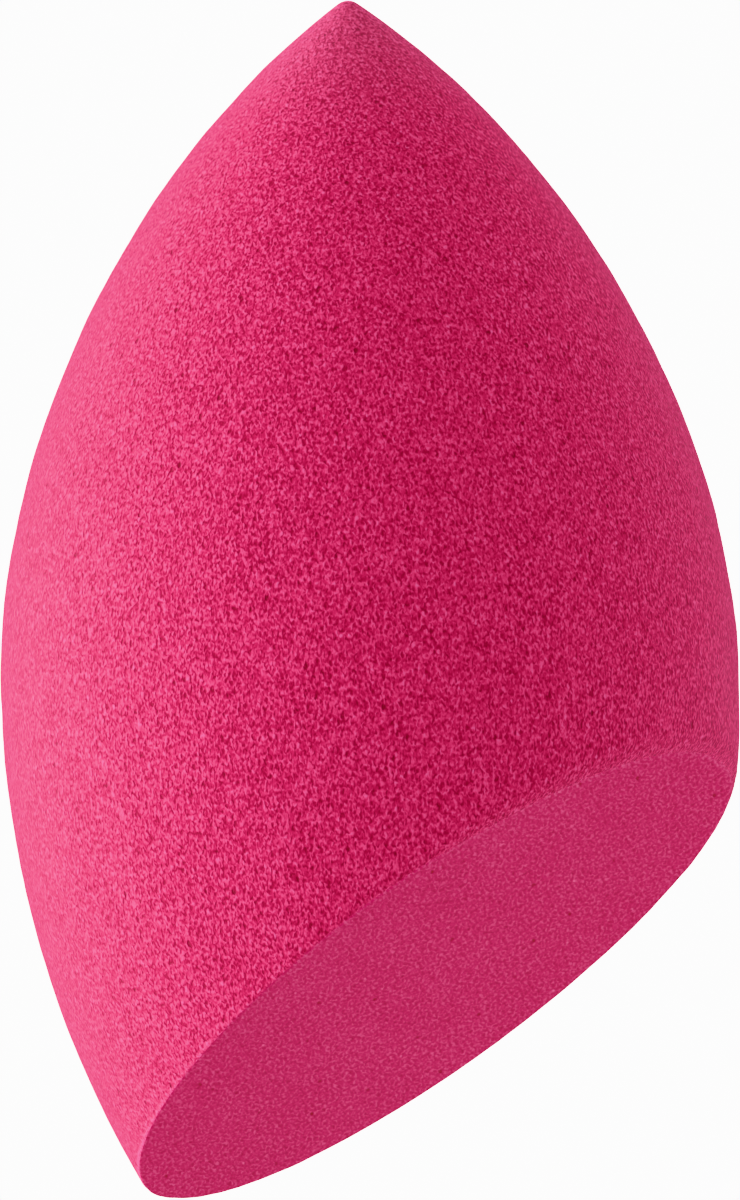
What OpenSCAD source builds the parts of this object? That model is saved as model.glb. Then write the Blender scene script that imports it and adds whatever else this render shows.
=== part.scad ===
// Teardrop makeup sponge, cut from one block of soft foam.
// The body is a blank of revolution: a small rounded tip, a long nose arc, a fuller arc over the
// widest circle and a flatter tail arc. One slanted cut takes the tail off and leaves the flat face.
// The origin is where the blank's axis meets the cut face. The face lies on z = 0, the foam is above
// it, and the tip leans towards +X.

/* [Body] */
// Diameter at the widest circle
body_d = 40; // [34:0.5:48]
// Radius of the side arc just above the widest circle
belt_r = 41; // [36:0.5:50]
// How far the belt arc turns up from the widest circle before the nose arc takes over, in degrees
belt_turn = 16.5; // [10:0.5:24]
// Radius of the nose arc, from the belt up to the tip
nose_r = 52.3; // [46:0.1:62]
// Radius of the side arc below the widest circle
tail_r = 56.4; // [48:0.1:70]

/* [Tip] */
// Radius of the rounded tip
tip_r = 1.25; // [0.6:0.05:3]

/* [Cut] */
// Slant of the cut, away from square to the axis, in degrees
cut_slant = 41.6; // [32:0.1:50]
// Distance along the axis from the widest circle to the cut
cut_drop = 18.9; // [15:0.1:23]

/* [Hidden] */

// How far the cutting block runs past the blank
overrun = 5;
// Turn of each straight piece along an arc of the outline, in degrees
arc_step = 2;
// Sides of the round blank
round_sides = 180;

// Heights are along the axis from the widest circle, and widths from the axis.
// Each arc meets the next with a common tangent, so its centre lies on the line through the
// last centre and the point where they meet.
body_r = body_d / 2;
tail_x = body_r - tail_r;
tail_turn = acos(-tail_x / tail_r);
belt_x = body_r - belt_r;
nose_x = belt_x + (belt_r - nose_r) * cos(belt_turn);
nose_y = (belt_r - nose_r) * sin(belt_turn);
tip_reach = nose_r - tip_r;
nose_turn = acos(-nose_x / tip_reach);
tip_y = nose_y + tip_reach * sin(nose_turn);
blank_len = tip_y + tip_r + tail_r * sin(tail_turn);

// Points along an arc, from one angle up to another, without the first
function arc(x, y, r, from, to) =
    let (steps = ceil((to - from) / arc_step))
    [for (i = [1 : steps])
        let (a = from + (to - from) * i / steps)
        [x + r * cos(a), y + r * sin(a)]];

// Half of the blank's outline, from the tail's point to the tip
outline = concat(
    [[0, -tail_r * sin(tail_turn)]],
    arc(tail_x, 0, tail_r, -tail_turn, 0),
    arc(belt_x, 0, belt_r, 0, belt_turn),
    arc(nose_x, nose_y, nose_r, belt_turn, nose_turn),
    arc(0, tip_y, tip_r, nose_turn, 90)
);

// The whole blank, with its axis on Z and its widest circle on z = 0
module blank() {
    rotate_extrude($fn = round_sides)
        polygon(outline);
}

// Everything that the slanted cut takes away, below z = 0
module cut_away() {
    side = 2 * (blank_len + overrun);
    translate([-side / 2, -side / 2, -side])
        cube(side);
}

module foam_body() {
    color("deeppink")
        difference() {
            rotate([0, cut_slant, 0])
                translate([0, 0, cut_drop])
                    blank();
            cut_away();
        }
}

foam_body();
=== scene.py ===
import math

import bmesh
import bpy
import numpy as np
from bmesh.types import BMEdge, BMFace, BMVert
from mathutils import Matrix, Vector, noise


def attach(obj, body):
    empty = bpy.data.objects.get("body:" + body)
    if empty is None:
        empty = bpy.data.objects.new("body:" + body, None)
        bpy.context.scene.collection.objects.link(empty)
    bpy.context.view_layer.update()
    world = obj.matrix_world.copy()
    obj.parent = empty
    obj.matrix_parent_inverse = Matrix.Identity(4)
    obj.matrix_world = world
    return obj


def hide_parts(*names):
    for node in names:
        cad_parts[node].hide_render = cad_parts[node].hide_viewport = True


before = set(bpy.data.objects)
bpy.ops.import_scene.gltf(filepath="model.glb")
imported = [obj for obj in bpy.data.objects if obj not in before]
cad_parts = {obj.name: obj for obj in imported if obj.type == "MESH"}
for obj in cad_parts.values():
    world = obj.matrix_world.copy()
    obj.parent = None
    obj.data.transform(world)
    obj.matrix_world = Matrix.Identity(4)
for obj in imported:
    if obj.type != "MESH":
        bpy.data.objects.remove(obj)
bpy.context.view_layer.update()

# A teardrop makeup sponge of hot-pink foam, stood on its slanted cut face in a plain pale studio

MM = 0.001

# The foam block, in millimetres and radians. Heights are along the upright blank's axis from its
# widest circle, and widths are from the axis. Lengths along x and y are those of the block stood
# on its cut, with the heel at low x and the nose over high x. The tip is a little sharper than
# the solid's.
BELT_WIDTH = 20.0
BELT_RADIUS = 41.0
BELT_TURN = math.radians(16.5)
NOSE_RADIUS = 52.3
TAIL_RADIUS = 56.4
TIP_RADIUS = 0.85
CUT_SLANT = math.radians(41.6)
CUT_DROP = 18.9
SLANT_COS, SLANT_SIN = math.cos(CUT_SLANT), math.sin(CUT_SLANT)

# How the rim of the cut is softened: crisp at the heel, and rounder under the nose between two x
RIM_SOFT_HEEL, RIM_SOFT_FRONT = 0.14, 0.7
RIM_SOFTER_FROM, RIM_SOFTER_TO = 14.0, 26.0

# How far the skin's finish runs over the rim under the nose. It comes in between two x, and goes
# again between two y on each side.
SKIN_OVER = 0.55
SKIN_OVER_FROM, SKIN_OVER_TO = 10.0, 25.0
SKIN_OVER_FADES, SKIN_OVER_ENDS = 9.0, 16.0

# How much lower the tip sits than the arcs alone would bring it, eased in over a span of height
TIP_DIP = 0.224
TIP_DIP_FROM, TIP_DIP_SPAN = 30.0, 8.0

# The foam's relief: lumps and broader swells, with the height of each and how many there are to
# a millimetre. The tip and the cut are smoother by a share.
LUMP_HEIGHT, LUMP_FINENESS = 0.022, 0.95
SWELL_HEIGHT, SWELL_FINENESS = 0.05, 0.27
SWELL_SHIFT = Vector((7.0, 3.0, 1.0))
TIP_SMOOTHER, TIP_SMOOTHER_FROM, TIP_SMOOTHER_TO = 0.7, 34.0, 37.5
CUT_SMOOTHER, CUT_FACING_FROM, CUT_FACING_TO = 0.6, 0.9, 0.99

# The mesh laid over the block: its rings, the finer ones beside the rim, its sides, the middle of
# the cut and half its width there, and how closely points are found and joined
RING_PITCH = 0.4
FEWEST_RINGS = 6
RIM_CUTS = 5
RIM_RINGS = (0.05, 0.1, 0.16, 0.22, 0.28, 0.34, 0.4, 0.46, 0.52, 0.65, 0.85, 1.15)
SIDES = 360
FACE_CENTRE = Vector((5.5, 0.0, 0.0))
FACE_HALF = 17.42
TOUCHING = 1e-4
HALVINGS = 40
PAST_HEEL = 0.5
SOFTENING_ROUNDS = 6
SKIN_FINISH, CUT_FINISH = 0, 1

# The grain of the skin and of the cut: how far their cells are drawn out, and which way the cut's
# run. The skin's colour grows paler towards the tip, between two heights, and the cut has faint
# patches.
SKIN_CELL_STRETCH = 1.54
CUT_CELL_STRETCH = 3.0
CUT_CELL_TURN = math.radians(-50.3)
TIP_PALE_SHARE, TIP_PALE_FROM, TIP_PALE_FULL = 0.14, 31.0, 39.5
FOAM_ROUGHNESS = 0.7
PATCH_FINENESS, PATCH_SHARE = 0.22, 0.12

# Specks of painted highlight, and pits darkened by painted shade: how far apart they are, how
# large, and the shares of that radius between which each fades
HIGHLIGHT_SPECK_SPACING, HIGHLIGHT_SPECK_RADIUS, HIGHLIGHT_SPECK_SHIFT = 1.2, 0.08, 0.0
SHADED_PIT_SPACING, SHADED_PIT_RADIUS, SHADED_PIT_SHIFT = 1.3, 0.12, 40.0
DOT_CORE, DOT_EDGE = 0.5, 1.3

# The painted highlight along the crease, where the rounded rim would catch the light: how strong
# it is on each finish, and the x between which it goes from the heel and comes in under the nose
HIGHLIGHT_FULL, HIGHLIGHT_GONE = 0.10, 0.34
HEEL_HIGHLIGHT, HEEL_HIGHLIGHT_FULL, HEEL_HIGHLIGHT_GONE = 0.45, -12.0, 15.0
FRONT_HIGHLIGHT, FRONT_HIGHLIGHT_GONE, FRONT_HIGHLIGHT_FULL = 0.11, 6.0, 22.0

# The camera stands below the cut's plane and is rolled, as the photograph shows the sponge
VIEW_BACK = Vector((0.61178, -0.73577, -0.29044)).normalized()
VIEW_UP = Vector((0.57621, 0.16297, 0.80089)).normalized()
CAMERA_PLACE = Vector((631.36, -740.05, -274.39)) * MM
CAMERA_LENS, CAMERA_SENSOR = 557.4, 36.0
CAMERA_NEAREST, CAMERA_FARTHEST = 0.05, 20.0

# The studio, in metres. REARWARD turns a lamp's way from the side of the sponge to its far side.
FLOOR_HALF, FLOOR_DROP = 6.0, 0.0001
FLOOR_FADES, FLOOR_ENDS = 0.15, 0.6
SKY_SEEN, SKY_LIGHT = 3.0, 0.73
LAMP_DISTANCE, LAMP_SIZE = 0.8, 0.7
LAMP_AIM = Vector((12.0, 0.0, 18.0)) * MM
REARWARD = -0.6 * VIEW_BACK
LEFT_COLOUR = (1.0, 1.11, 1.22)
RIGHT_COLOUR = (1.0, 0.80, 1.2)


# Shape of the block

class Arc:
    """One arc of the block's outline: its centre, its radius and the angles it runs between."""

    def __init__(self, x, y, radius, low, high):
        self.x, self.y, self.radius = x, y, radius
        self.low, self.high = low, high
        self.length = radius * (high - low)


def outline_arcs():
    """The tail, belt, nose and tip arcs, from the heel of the cut up to the tip."""
    tail_x = BELT_WIDTH - TAIL_RADIUS
    heel_turn = CUT_SLANT + math.asin((CUT_DROP * SLANT_COS + tail_x * SLANT_SIN) / TAIL_RADIUS)
    belt_x = BELT_WIDTH - BELT_RADIUS
    nose_x = belt_x + (BELT_RADIUS - NOSE_RADIUS) * math.cos(BELT_TURN)
    nose_y = (BELT_RADIUS - NOSE_RADIUS) * math.sin(BELT_TURN)
    tip_reach = NOSE_RADIUS - TIP_RADIUS
    nose_turn = math.acos(-nose_x / tip_reach)
    tip_y = nose_y + tip_reach * math.sin(nose_turn)
    return [
        Arc(tail_x, 0.0, TAIL_RADIUS, -heel_turn, 0.0),
        Arc(belt_x, 0.0, BELT_RADIUS, 0.0, BELT_TURN),
        Arc(nose_x, nose_y, NOSE_RADIUS, BELT_TURN, nose_turn),
        Arc(0.0, tip_y, TIP_RADIUS, nose_turn, math.pi / 2),
    ]


ARCS = outline_arcs()
OUTLINE_LENGTH = sum(arc.length for arc in ARCS)

# How far down the outline from the tip the top of each arc lies
ARC_TOPS = np.array([sum(arc.length for arc in ARCS[i + 1:]) for i in range(len(ARCS))])


def arc_at(width, height):
    """Which arc faces each point: 0 for the tail, up to 3 for the tip."""
    found = np.zeros(len(width), int)
    for which, arc in enumerate(ARCS[1:], 1):
        turn = np.arctan2(height - arc.y, width - arc.x)
        found[turn > arc.low] = which
    return found


def arc_values(which, name):
    """One measure of the arcs that these numbers pick."""
    return np.array([getattr(arc, name) for arc in ARCS])[which]


def run_from_tip(width, height):
    """How far down the outline from the tip each of its points lies."""
    which = arc_at(width, height)
    turn = np.arctan2(height - arc_values(which, "y"), width - arc_values(which, "x"))
    return ARC_TOPS[which] + arc_values(which, "radius") * (arc_values(which, "high") - turn)


def down_outline(run):
    """(width, height) of the outline at these distances down it from the tip."""
    which = np.zeros(len(run), int)
    for i in range(1, len(ARCS)):
        which[run < ARC_TOPS[i - 1]] = i
    turn = arc_values(which, "high") - (run - ARC_TOPS[which]) / arc_values(which, "radius")
    width = arc_values(which, "x") + arc_values(which, "radius") * np.cos(turn)
    height = arc_values(which, "y") + arc_values(which, "radius") * np.sin(turn)
    return width, height


def to_standing(points):
    """Points on the upright blank, tilted by the cut's slant and stood on the cut."""
    x, y, z = points.T
    z = z + CUT_DROP
    return np.stack([x * SLANT_COS + z * SLANT_SIN, y, z * SLANT_COS - x * SLANT_SIN], 1)


def to_blank(points):
    """The other way round: points of the standing block, in the upright blank."""
    x, y, z = points.T
    return np.stack([x * SLANT_COS - z * SLANT_SIN, y,
                     z * SLANT_COS + x * SLANT_SIN - CUT_DROP], 1)


def rim_run(azimuth):
    """How far from the tip the cut crosses the block's side, at these azimuths."""
    low, high = np.zeros(len(azimuth)), np.full(len(azimuth), OUTLINE_LENGTH + PAST_HEEL)
    for _ in range(HALVINGS):
        middle = (low + high) / 2
        width, height = down_outline(middle)
        above = (height + CUT_DROP) * SLANT_COS - width * np.cos(azimuth) * SLANT_SIN > 0
        low, high = np.where(above, middle, low), np.where(above, high, middle)
    return (low + high) / 2


def smooth(value, low, high):
    """Eases from 0 to 1 while the value goes from low to high."""
    t = np.clip((value - low) / (high - low), 0.0, 1.0)
    return t * t * (3 - 2 * t)


def never_zero(value):
    return np.maximum(value, 1e-9)


def blank_side(points):
    """Distance outside the blank's round side, and the way out from it."""
    x, y, z = to_blank(points).T
    width = np.hypot(x, y)
    which = arc_at(width, z)
    across = width - arc_values(which, "x")
    up = z - arc_values(which, "y")
    reach = np.hypot(across, up)
    side = reach - arc_values(which, "radius")
    out = never_zero(width)
    side_way = np.stack([across / reach * x / out, across / reach * y / out, up / reach], 1)
    return side, to_standing(side_way) - to_standing(np.zeros((1, 3)))


def soft_block(points):
    """Distance outside the block with its softened rim, and the way out from its surface."""
    side, side_way = blank_side(points)
    cut = -points[:, 2]
    cut_way = np.tile((0.0, 0.0, -1.0), (len(points), 1))
    softer = smooth(points[:, 0], RIM_SOFTER_FROM, RIM_SOFTER_TO)
    soft = RIM_SOFT_HEEL + (RIM_SOFT_FRONT - RIM_SOFT_HEEL) * softer
    to_side, to_cut = side + soft, cut + soft
    in_corner = (to_side > 0) & (to_cut > 0)
    corner = np.hypot(to_side, to_cut)
    side_share = np.where(in_corner, to_side / never_zero(corner), (to_side > to_cut) * 1.0)
    cut_share = np.where(in_corner, to_cut / never_zero(corner), (to_side <= to_cut) * 1.0)
    apart = np.where(in_corner, corner, np.maximum(to_side, to_cut)) - soft
    return apart, side_way * side_share[:, None] + cut_way * cut_share[:, None]


def points_of(bm):
    return np.array([vert.co[:] for vert in bm.verts])


def move_points(bm, points):
    for vert, point in zip(bm.verts, points):
        vert.co = point


def only(kind, items):
    return [item for item in items if isinstance(item, kind)]


# The foam block

def sweep_outline(bm):
    """Half of the blank's outline, swept arc by arc from the heel, which it returns, to the tip."""
    first = ARCS[0]
    width = first.x + first.radius * math.cos(first.low)
    height = first.y + first.radius * math.sin(first.low)
    end = bm.verts.new((width, 0.0, height))
    for arc in ARCS:
        steps = max(FEWEST_RINGS, round(arc.length / RING_PITCH))
        swept = bmesh.ops.spin(
            bm, geom=[end], cent=(arc.x, 0.0, arc.y), axis=(0.0, -1.0, 0.0),
            dvec=(0.0, 0.0, 0.0), angle=arc.high - arc.low, steps=steps, use_merge=False)
        end = only(BMVert, swept["geom_last"])[0]
    bm.verts.ensure_lookup_table()
    return bm.verts[0]


def close_rings(bm, heel):
    """Extra rings close to where the rim will be, for its soft edge."""
    bmesh.ops.subdivide_edges(bm, edges=list(heel.link_edges), cuts=RIM_CUTS)


def slide_to_cut(bm):
    """Slides every ring down the outline in proportion, so that the last one lies on the cut."""
    points = points_of(bm)
    width, azimuth = np.hypot(points[:, 0], points[:, 1]), np.arctan2(points[:, 1], points[:, 0])
    run = run_from_tip(width, points[:, 2]) * rim_run(azimuth) / OUTLINE_LENGTH
    width, height = down_outline(run)
    x, y = width * np.cos(azimuth), width * np.sin(azimuth)
    move_points(bm, to_standing(np.stack([x, y, height], 1)))


def close_face(bm):
    """Fills the cut with rings that step inwards from the rim to one point."""
    loop = [edge for edge in bm.edges if all(abs(vert.co.z) < TOUCHING for vert in edge.verts)]
    distance = list(RIM_RINGS)
    while distance[-1] < FACE_HALF - RING_PITCH:
        distance.append(distance[-1] + RING_PITCH)
    reach = 1.0
    for inwards in distance:
        new = bmesh.ops.extrude_edge_only(bm, edges=loop)["geom"]
        ring, loop = only(BMVert, new), only(BMEdge, new)
        for face in only(BMFace, new):
            face.material_index = CUT_FINISH
        factor = (1 - inwards / FACE_HALF) / reach
        reach *= factor
        bmesh.ops.scale(bm, vec=(factor, factor, 1.0),
                        space=Matrix.Translation(-FACE_CENTRE), verts=ring)
    bmesh.ops.pointmerge(bm, verts=ring, merge_co=FACE_CENTRE)


def run_skin_over(bm):
    """Lets the skin's finish run a little way over the rim under the nose. Each point keeps how
    far in past the end of that finish it lies, for the painted highlight there."""
    points = points_of(bm)
    side, _ = blank_side(points)
    under_nose = smooth(points[:, 0], SKIN_OVER_FROM, SKIN_OVER_TO)
    at_side = smooth(points[:, 1], SKIN_OVER_FADES, SKIN_OVER_ENDS)
    run = SKIN_OVER * under_nose * (1 - at_side)
    past = bm.verts.layers.float.new("past_skin")
    for vert, value in zip(bm.verts, -side - run):
        vert[past] = value
    for face in bm.faces:
        if face.material_index == CUT_FINISH and sum(vert[past] for vert in face.verts) < 0:
            face.material_index = SKIN_FINISH


def soften_rim(bm):
    """Draws the sharp rim in on to its rounded edge."""
    points = points_of(bm)
    for _ in range(SOFTENING_ROUNDS):
        apart, way = soft_block(points)
        steep = never_zero((way * way).sum(1))
        points = points - way * (apart / steep)[:, None]
    move_points(bm, points)


def raise_relief(bm):
    """The foam's own soft lumps and hollows, a few hundredths of a millimetre high, and the tip
    brought down on to its place."""
    points = points_of(bm)
    _, way = soft_block(points)
    way = way / np.linalg.norm(way, axis=1)[:, None]
    grain = to_blank(points)
    lumps = np.array([noise.noise(Vector(p) * LUMP_FINENESS) for p in grain])
    swells = np.array([noise.noise(Vector(p) * SWELL_FINENESS + SWELL_SHIFT) for p in grain])
    height = LUMP_HEIGHT * lumps + SWELL_HEIGHT * swells
    at_tip = smooth(grain[:, 2], TIP_SMOOTHER_FROM, TIP_SMOOTHER_TO)
    on_cut = smooth(-way[:, 2], CUT_FACING_FROM, CUT_FACING_TO)
    height *= (1 - TIP_SMOOTHER * at_tip) * (1 - CUT_SMOOTHER * on_cut)
    grain[:, 2] -= TIP_DIP * (np.maximum(grain[:, 2] - TIP_DIP_FROM, 0.0) / TIP_DIP_SPAN) ** 2
    move_points(bm, to_standing(grain) + way * height[:, None])


def make_block():
    """The whole sponge, as one closed block of foam: one half of it, mirrored."""
    bm = bmesh.new()
    heel = sweep_outline(bm)
    close_rings(bm, heel)
    bmesh.ops.spin(bm, geom=bm.verts[:] + bm.edges[:], cent=(0.0, 0.0, 0.0), axis=(0.0, 0.0, 1.0),
                   dvec=(0.0, 0.0, 0.0), angle=math.pi, steps=SIDES // 2, use_merge=False)
    bmesh.ops.remove_doubles(bm, verts=bm.verts[:], dist=TOUCHING)
    slide_to_cut(bm)
    close_face(bm)
    run_skin_over(bm)
    soften_rim(bm)
    bmesh.ops.mirror(bm, geom=bm.verts[:] + bm.edges[:] + bm.faces[:], axis="Y",
                     merge_dist=TOUCHING)
    raise_relief(bm)
    bmesh.ops.recalc_face_normals(bm, faces=bm.faces[:])
    bmesh.ops.scale(bm, vec=(MM, MM, MM), verts=bm.verts[:])
    mesh = bpy.data.meshes.new("foam_block")
    bm.to_mesh(mesh)
    bm.free()
    mesh.shade_smooth()
    block = bpy.data.objects.new("foam_block", mesh)
    bpy.context.scene.collection.objects.link(block)
    return block


# Materials

class Wire:
    """One output in a node tree. Python's own sums on it add Math nodes."""

    def __init__(self, bench, socket):
        self.bench, self.socket = bench, socket

    def maths(self, operation, first, second):
        return self.bench.node("ShaderNodeMath", {"operation": operation}, {0: first, 1: second})

    def __add__(self, other):
        return self.maths("ADD", self, other)

    def __radd__(self, other):
        return self.maths("ADD", other, self)

    def __sub__(self, other):
        return self.maths("SUBTRACT", self, other)

    def __rsub__(self, other):
        return self.maths("SUBTRACT", other, self)

    def __mul__(self, other):
        return self.maths("MULTIPLY", self, other)

    def __rmul__(self, other):
        return self.maths("MULTIPLY", other, self)

    def larger(self, other):
        return self.maths("MAXIMUM", self, other)


class Bench:
    """Where the nodes of one material, or of the sky, are put together."""

    def __init__(self, made):
        made.use_nodes = True
        self.made, self.tree = made, made.node_tree
        self.tree.nodes.clear()

    def node(self, kind, settings=None, inputs=None, output=0):
        """Adds a node: its settings first, then the values and wires of its inputs."""
        node = self.tree.nodes.new(kind)
        for name, value in (settings or {}).items():
            if name == "stops":
                self.set_stops(node.color_ramp, value)
            else:
                setattr(node, name, value)
        for name, value in (inputs or {}).items():
            if isinstance(value, Wire):
                self.tree.links.new(value.socket, node.inputs[name])
            else:
                node.inputs[name].default_value = value
        return Wire(self, node.outputs[output]) if node.outputs else None

    def set_stops(self, painted_shade_ramp, stops):
        for place, _ in stops[len(painted_shade_ramp.elements):]:
            painted_shade_ramp.elements.new(place)
        for element, (place, colour) in zip(painted_shade_ramp.elements, stops):
            element.position, element.color = place, colour

    def blend(self, factor, first, second):
        """Two colours mixed by a factor."""
        settings = {"data_type": "RGBA", "clamp_factor": True}
        return self.node("ShaderNodeMix", settings, {0: factor, 6: first, 7: second}, 2)


def tone(red, green, blue):
    return (red, green, blue, 1.0)


# The foam from its deepest hollows to its wall tops, on the skin and on the cut: its dyed pink,
# darkened in the hollows as painted shade and lightened on the wall tops as painted highlight
SKIN_PAINTED_SHADE_RAMP = [
    (0.0, tone(0.27, 0.0, 0.0)),
    (0.25, tone(0.445, 0.0, 0.032)),
    (0.5, tone(0.68, 0.0320, 0.114)),
    (0.75, tone(0.936, 0.094, 0.240)),
    (1.0, tone(1.0, 0.165, 0.39)),
]
CUT_PAINTED_SHADE_RAMP = [
    (0.0, tone(0.40, 0.0, 0.0)),
    (0.25, tone(0.54, 0.0, 0.063)),
    (0.5, tone(0.70, 0.021, 0.133)),
    (0.75, tone(0.86, 0.102, 0.260)),
    (1.0, tone(0.98, 0.185, 0.38)),
]
# The pale pink that the skin turns towards the tip
TIP_PALE_TONE = tone(0.70, 0.36, 0.52)
GLOSS_TINT = tone(1.0, 0.54, 1.0)
FUZZ = {"Sheen Weight": 1.0, "Sheen Roughness": 0.5, "Sheen Tint": tone(0.78, 0.10, 0.26)}
PAPER = tone(0.90, 0.85, 0.80)
WHITE = tone(1.0, 1.0, 1.0)
SKY_COLOUR = tone(1.0, 0.945, 0.965)


def ease(bench, value, low, high, at_low=0.0, at_high=1.0):
    """Eases from one value to another while this input goes from low to high."""
    return bench.node("ShaderNodeMapRange", {"interpolation_type": "SMOOTHSTEP"}, {
        "Value": value, "From Min": low, "From Max": high, "To Min": at_low, "To Max": at_high})


def object_place(bench):
    return bench.node("ShaderNodeTexCoord", {}, {}, "Object")


def axis_of(bench, place, axis):
    return bench.node("ShaderNodeSeparateXYZ", {}, {"Vector": place}, axis)


def grain_place(bench, turn, stretch):
    """Places on the foam in millimetres, turned to the way its cells run and drawn out by stretch."""
    return bench.node("ShaderNodeMapping", {"vector_type": "TEXTURE"}, {
        "Vector": object_place(bench), "Rotation": turn, "Scale": [MM * size for size in stretch]})


def scattered_dots(bench, place, spacing, radius, shift):
    """1 inside rare round dots of this radius and about this far apart, 0 outside them."""
    moved = bench.node("ShaderNodeMapping", {}, {"Vector": place, "Location": (shift, shift, 0.0)})
    apart = bench.node("ShaderNodeTexVoronoi", {"feature": "F1"}, {
        "Vector": moved, "Scale": 1 / spacing, "Randomness": 1.0})
    return ease(bench, apart, DOT_CORE * radius / spacing, DOT_EDGE * radius / spacing, 1.0, 0.0)


def foam_grain(bench, place, fineness, strength, highlight_specks, shaded_pits):
    """How far the surface stands from hollow (0) to wall top (1): winding walls, specks that take
    painted highlight, and pits that take painted shade.
    """
    winding = bench.node("ShaderNodeTexNoise", {}, {
        "Vector": place, "Scale": fineness, "Detail": 0.0, "Distortion": 0.6})
    # Through the colour ramp the specks become painted highlight and the pits painted shade
    return 0.5 + (winding - 0.5) * strength \
        + scattered_dots(bench, place, HIGHLIGHT_SPECK_SPACING, HIGHLIGHT_SPECK_RADIUS, HIGHLIGHT_SPECK_SHIFT) * highlight_specks \
        - scattered_dots(bench, place, SHADED_PIT_SPACING, SHADED_PIT_RADIUS, SHADED_PIT_SHIFT) * shaded_pits


def foam_finish(bench, level, painted_shade_ramp, gloss, depth, fuzz=None, tip_paling=None):
    """Dyed foam: painted shade in the deep hollows, painted highlight on the pale walls, a broad
    faint gloss and, if given, a sheen of fuzz.
    """
    # The ramp gives the dyed pink painted shade in the hollows and painted highlight on the wall tops
    colour = bench.node("ShaderNodeValToRGB", {"stops": painted_shade_ramp}, {"Fac": level})
    # Paler towards the tip, where a share is given
    if tip_paling:
        colour = bench.blend(tip_paling, colour, TIP_PALE_TONE)
    raised = bench.node("ShaderNodeBump", {}, {
        "Strength": 1.0, "Distance": depth * MM, "Height": level})
    surface = bench.node("ShaderNodeBsdfPrincipled", {}, {
        "Base Color": colour, "Normal": raised, "Roughness": FOAM_ROUGHNESS,
        "Specular IOR Level": gloss, "Specular Tint": GLOSS_TINT, **(fuzz or {})})
    bench.node("ShaderNodeOutputMaterial", {}, {"Surface": surface})
    return bench.made


def heel_painted_highlight(bench):
    """The painted highlight on the last of the skin before the cut, where the rim catches the
    light, strongest at the heel.
    """
    place = object_place(bench)
    above, along = axis_of(bench, place, "Z"), axis_of(bench, place, "X")
    return ease(bench, above, HIGHLIGHT_FULL * MM, HIGHLIGHT_GONE * MM, 1.0, 0.0) \
        * ease(bench, along, HEEL_HIGHLIGHT_FULL * MM, HEEL_HIGHLIGHT_GONE * MM, 1.0, 0.0)


def front_painted_highlight(bench):
    """The fainter painted highlight on the cut, just inside the skin's finish under the nose."""
    past = bench.node("ShaderNodeAttribute", {"attribute_name": "past_skin"}, {}, "Fac")
    along = axis_of(bench, object_place(bench), "X")
    return ease(bench, past, HIGHLIGHT_FULL, HIGHLIGHT_GONE, 1.0, 0.0) \
        * ease(bench, along, FRONT_HIGHLIGHT_GONE * MM, FRONT_HIGHLIGHT_FULL * MM)


def skin_foam():
    """The rounded outside: open, strongly grained foam, its cells drawn out along the axis."""
    bench = Bench(bpy.data.materials.new("foam_skin"))
    place = grain_place(bench, (0.0, CUT_SLANT, 0.0), (1.0, 1.0, SKIN_CELL_STRETCH))
    # The skin's level gets a painted highlight along the crease
    level = foam_grain(bench, place, fineness=6.8, strength=1.3, highlight_specks=0.4, shaded_pits=0.45) \
        + heel_painted_highlight(bench) * HEEL_HIGHLIGHT
    # The share by which the skin pales towards the tip
    tip_paling = ease(bench, axis_of(bench, place, "Z"), (CUT_DROP + TIP_PALE_FROM) / SKIN_CELL_STRETCH,
                (CUT_DROP + TIP_PALE_FULL) / SKIN_CELL_STRETCH, 0.0, TIP_PALE_SHARE)
    return foam_finish(bench, level, SKIN_PAINTED_SHADE_RAMP, gloss=0.59, depth=0.06, fuzz=FUZZ, tip_paling=tip_paling)


def cut_foam():
    """The cut face: finer, flatter and a little bluer, its cells drawn out across the cut."""
    bench = Bench(bpy.data.materials.new("foam_cut_face"))
    place = grain_place(bench, (0.0, 0.0, CUT_CELL_TURN), (CUT_CELL_STRETCH, 1.0, 1.0))
    patches = bench.node("ShaderNodeTexNoise", {}, {
        "Vector": place, "Scale": PATCH_FINENESS, "Detail": 1.0})
    # The cut's level gets faint patches and a painted highlight under the nose
    level = foam_grain(bench, place, fineness=6.2, strength=0.78, highlight_specks=0.3, shaded_pits=0.35) \
        + (patches - 0.5) * PATCH_SHARE + front_painted_highlight(bench) * FRONT_HIGHLIGHT
    return foam_finish(bench, level, CUT_PAINTED_SHADE_RAMP, gloss=0.58, depth=0.05)


def floor_paper():
    """Pale matt paper that fades into the white far from the sponge, seen only from above."""
    bench = Bench(bpy.data.materials.new("studio_floor"))
    paper = bench.node("ShaderNodeBsdfDiffuse", {}, {"Color": PAPER})
    clear = bench.node("ShaderNodeBsdfTransparent")
    below = bench.node("ShaderNodeNewGeometry", {}, {}, "Backfacing")
    away = bench.node("ShaderNodeVectorMath", {"operation": "LENGTH"}, {
        0: object_place(bench)}, "Value")
    gone = below.larger(ease(bench, away, FLOOR_FADES, FLOOR_ENDS))
    shown = bench.node("ShaderNodeMixShader", {}, {0: gone, 1: paper, 2: clear})
    bench.node("ShaderNodeOutputMaterial", {}, {"Surface": shown})
    return bench.made


# Studio

def make_camera():
    """Sets up the camera, and gives the ways that are right and up in its picture."""
    data = bpy.data.cameras.new("portrait_camera")
    data.type, data.lens, data.sensor_width = "PERSP", CAMERA_LENS, CAMERA_SENSOR
    data.clip_start, data.clip_end = CAMERA_NEAREST, CAMERA_FARTHEST
    camera = bpy.data.objects.new("portrait_camera", data)
    bpy.context.scene.collection.objects.link(camera)
    right = VIEW_UP.cross(VIEW_BACK).normalized()
    up = VIEW_BACK.cross(right)
    turn = Matrix((right, up, VIEW_BACK)).transposed().to_4x4()
    camera.matrix_world = Matrix.Translation(CAMERA_PLACE) @ turn
    bpy.context.scene.camera = camera
    return right, up


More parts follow.
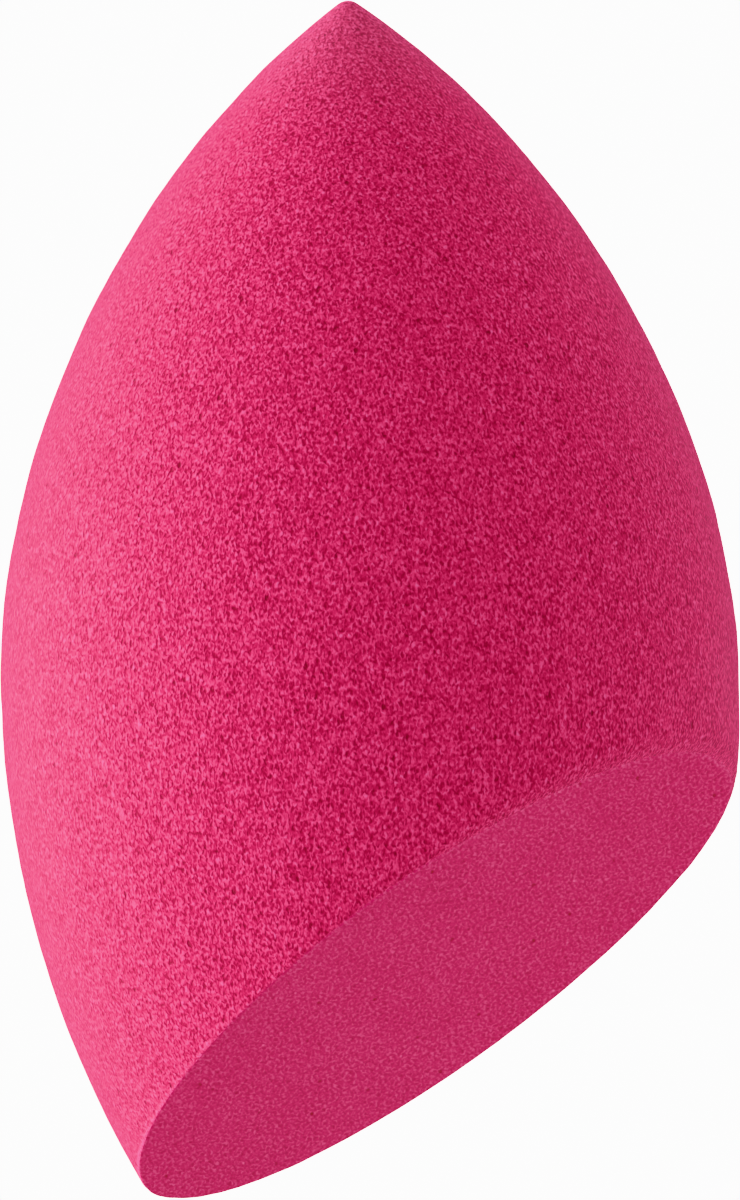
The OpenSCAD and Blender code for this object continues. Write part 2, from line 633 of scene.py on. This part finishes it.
def make_floor():
    """A sheet of paper under the sponge, which takes its shadow but throws no light back on it."""
    bm = bmesh.new()
    bmesh.ops.create_grid(bm, x_segments=1, y_segments=1, size=FLOOR_HALF)
    bmesh.ops.translate(bm, vec=(0.0, 0.0, -FLOOR_DROP), verts=bm.verts[:])
    mesh = bpy.data.meshes.new("studio_floor")
    bm.to_mesh(mesh)
    bm.free()
    floor = bpy.data.objects.new("studio_floor", mesh)
    floor.data.materials.append(floor_paper())
    for ray in ("diffuse", "glossy", "transmission", "volume_scatter", "shadow"):
        setattr(floor, f"visible_{ray}", False)
    bpy.context.scene.collection.objects.link(floor)


def make_sky():
    """White behind the sponge, and a softer even light from all round."""
    bench = Bench(bpy.data.worlds.new("studio_air"))
    seen = bench.node("ShaderNodeBackground", {}, {"Color": WHITE, "Strength": SKY_SEEN})
    lit = bench.node("ShaderNodeBackground", {}, {"Color": SKY_COLOUR, "Strength": SKY_LIGHT})
    looked_at = bench.node("ShaderNodeLightPath", {}, {}, "Is Camera Ray")
    air = bench.node("ShaderNodeMixShader", {}, {0: looked_at, 1: lit, 2: seen})
    bench.node("ShaderNodeOutputWorld", {}, {"Surface": air})
    bpy.context.scene.world = bench.made


def soft_box(name, way, power, colour):
    """A large soft lamp, this way from the sponge and facing it."""
    data = bpy.data.lights.new(name, "AREA")
    data.shape, data.size, data.energy, data.color = "SQUARE", LAMP_SIZE, power, colour
    lamp = bpy.data.objects.new(name, data)
    bpy.context.scene.collection.objects.link(lamp)
    way = way.normalized()
    lamp.matrix_world = Matrix.Translation(LAMP_AIM + way * LAMP_DISTANCE) \
        @ way.to_track_quat("Z", "Y").to_matrix().to_4x4()
    lamp.visible_camera = False


block = make_block()
block.data.materials.append(skin_foam())
block.data.materials.append(cut_foam())
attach(block, "root")
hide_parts("foam_body")

right, up = make_camera()
make_floor()
make_sky()
soft_box("left_high_box", -right + up, 1.1, LEFT_COLOUR)
soft_box("left_middle_box", -right, 5.3, LEFT_COLOUR)
soft_box("left_low_box", -right - up, 1.45, LEFT_COLOUR)
soft_box("left_rear_box", -right + REARWARD, 2.3, LEFT_COLOUR)
soft_box("right_rear_fill", right + REARWARD, 0.65, RIGHT_COLOUR)
bpy.context.scene.view_settings.view_transform = "Khronos PBR Neutral"
